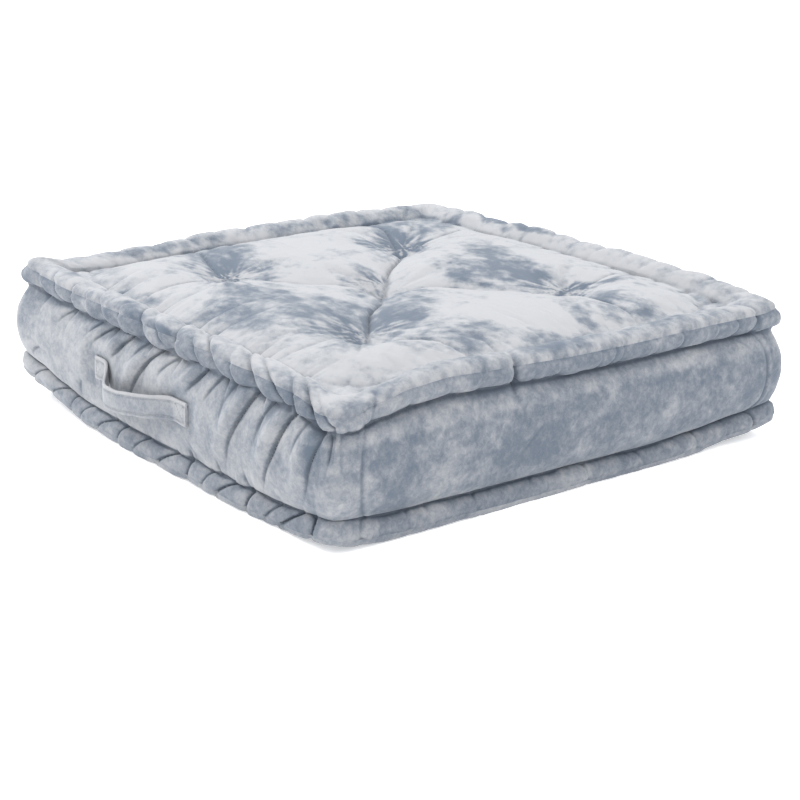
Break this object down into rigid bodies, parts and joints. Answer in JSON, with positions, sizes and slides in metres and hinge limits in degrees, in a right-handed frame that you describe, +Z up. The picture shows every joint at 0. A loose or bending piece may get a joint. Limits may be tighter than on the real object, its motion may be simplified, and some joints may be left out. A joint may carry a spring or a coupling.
{
  "type": "tufted floor cushion",
  "caption": "Square tufted velvet floor cushion with rolled mattress edges, boxed sides and a sewn carrying handle that swings up.",
  "frame": {"origin": "centre of the face the cushion rests on, on the floor plane", "axes": "+Z up through the thickness, +X along the handle side, -Y out through the handle side"},
  "size_m": [0.605, 0.627, 0.1516],
  "materials": {
    "velvet": "crushed-look velvet, pale blue-grey",
    "fibre": "loose white polyester fibre",
    "twine": "pale grey twine",
    "thread": "pale grey sewing thread"
  },
  "bodies": {
    "cushion": {"top_panel": "velvet", "bottom_panel": "velvet", "side_panel_front": "velvet", "side_panel_right": "velvet", "side_panel_back": "velvet", "side_panel_left": "velvet", "core_fill": "fibre", "edge_roll_top": "fibre", "edge_roll_bottom": "fibre", "roll_stitch_top": "twine", "roll_stitch_bottom": "twine", "tuft_twine_centre": "twine", "tuft_twine_front_left": "twine", "tuft_twine_front_right": "twine", "tuft_twine_back_right": "twine", "tuft_twine_back_left": "twine", "handle_tab_left": "velvet", "handle_tab_right": "velvet", "handle_stitch_left": "thread", "handle_stitch_right": "thread"},
    "handle": {"handle_grip": "velvet"}
  },
  "joints": [
    {"name": "handle_swing", "type": "hinge", "parent": "cushion", "child": "handle", "pos_m": [-0.03, -0.3032, 0.0842], "axis": [-1, 0, 0], "range_deg": [0, 110]}
  ]
}
